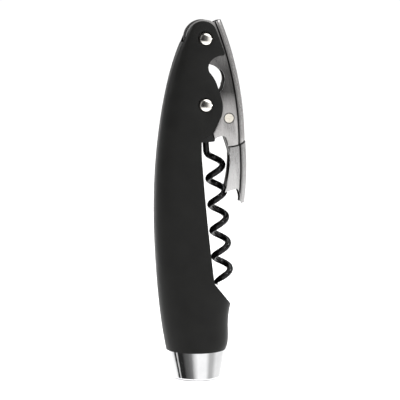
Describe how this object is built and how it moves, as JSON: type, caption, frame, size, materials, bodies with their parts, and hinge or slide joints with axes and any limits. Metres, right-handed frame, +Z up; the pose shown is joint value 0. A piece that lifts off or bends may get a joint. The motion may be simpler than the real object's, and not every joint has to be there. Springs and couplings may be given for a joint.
{
  "type": "lever corkscrew",
  "caption": "Folding double-hinged lever corkscrew: curved soft-touch handle, steel levers with cap lifter, coated worm, chrome end cap.",
  "frame": {"origin": "centre of the end cap's flat foot", "axes": "+Z up along the upright handle, +X from the spine to the folded levers and worm, Y across the handle"},
  "size_m": [0.0329, 0.0216, 0.1285],
  "materials": {
    "soft_black": "soft-touch rubber-coated, matte black",
    "steel": "stamped stainless",
    "spacer_alloy": "as extruded",
    "chrome": "polished chrome plate",
    "rivet_steel": "polished domed heads",
    "washer_steel": "tumbled",
    "lever_steel": "satin sides, polished back",
    "link_brass": "peened flush, warm steel",
    "black_coat": "glossy black non-stick coat"
  },
  "bodies": {
    "handle": {"grip_near": "soft_black", "grip_far": "soft_black", "liner_near": "steel", "liner_far": "steel", "back_spacer": "spacer_alloy", "frame_tang": "spacer_alloy", "frame_pins": "steel", "end_cap": "chrome", "cap_stud": "steel", "lever_rivet": "rivet_steel", "lever_rivet_cap": "rivet_steel", "worm_rivet": "rivet_steel", "worm_rivet_cap": "rivet_steel", "lever_sleeve": "steel", "lever_washers": "washer_steel", "worm_washers": "washer_steel"},
    "upper_lever": {"upper_lever": "lever_steel", "link_rivet": "link_brass"},
    "lower_lever": {"lower_lever": "lever_steel", "link_washers": "washer_steel"},
    "worm": {"worm": "black_coat", "worm_hub": "black_coat", "hub_pin": "steel"}
  },
  "joints": [
    {"name": "lever_swing", "type": "hinge", "parent": "handle", "child": "upper_lever", "pos_m": [0.002, 0, 0.1219], "axis": [0, -1, 0], "range_deg": [0, 135]},
    {"name": "link_swing", "type": "hinge", "parent": "upper_lever", "child": "lower_lever", "pos_m": [0.0108, 0, 0.0937], "axis": [0, -1, 0], "range_deg": [0, 60]},
    {"name": "worm_swing", "type": "hinge", "parent": "handle", "child": "worm", "pos_m": [0.002, 0, 0.0986], "axis": [0, -1, 0], "range_deg": [0, 90]}
  ],
  "couplings": [
    {"joint": "worm_swing", "follows": "lever_swing", "ratio": 0.66}
  ]
}
